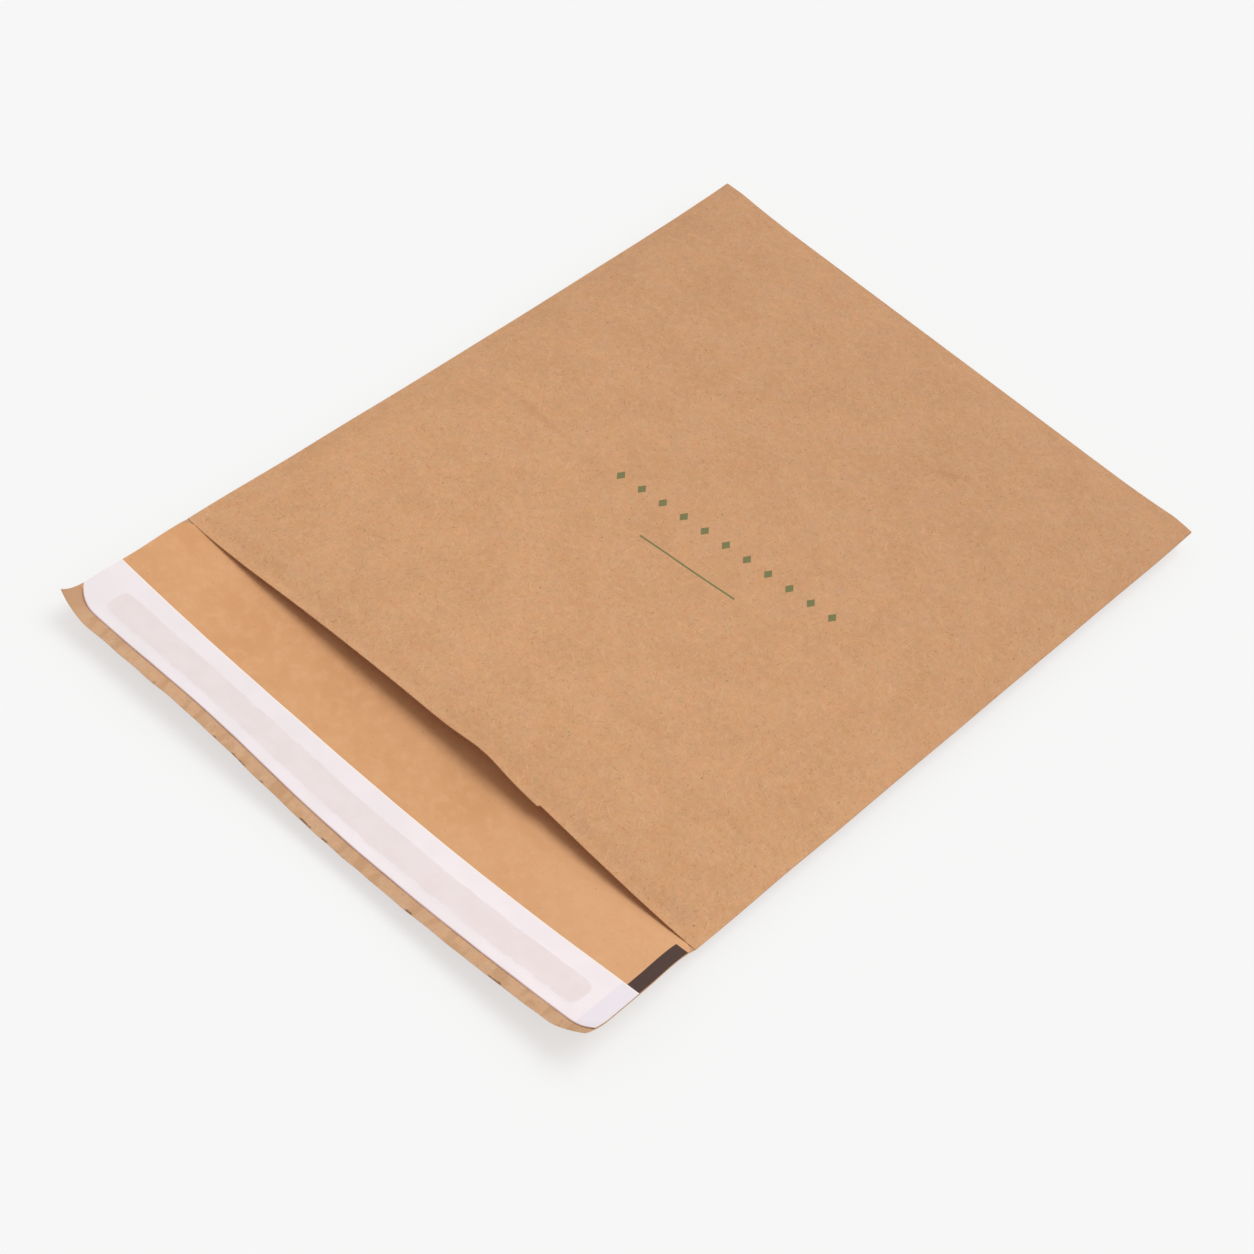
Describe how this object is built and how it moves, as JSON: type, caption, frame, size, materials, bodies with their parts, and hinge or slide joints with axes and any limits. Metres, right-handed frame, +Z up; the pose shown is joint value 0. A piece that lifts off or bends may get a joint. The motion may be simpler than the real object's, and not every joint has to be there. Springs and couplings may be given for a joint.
{
  "type": "padded envelope",
  "caption": "Padded kraft paper envelope lying flat, its flap open with a peel-off strip over the glue, and its mouth slightly gaping on an empty pocket.",
  "frame": {"origin": "middle of the bounding box on the surface that the envelope lies on, under its back", "axes": "+Z up, +X across the mouth, +Y from the open flap towards the closed end"},
  "size_m": [0.216, 0.333, 0.0122],
  "materials": {
    "outer_kraft": "matt, fibrous and speckled",
    "inner_kraft": "smooth matt",
    "recycled_fibre": "soft and fibrous",
    "hot_melt_glue": "tacky, slightly glossy",
    "release_paper": "smooth, siliconed"
  },
  "bodies": {
    "root": {"outer_kraft_ply": "outer_kraft", "inner_kraft_ply": "inner_kraft", "padding_sheet": "recycled_fibre", "adhesive_strip": "hot_melt_glue", "release_liner": "release_paper"}
  },
  "joints": []
}
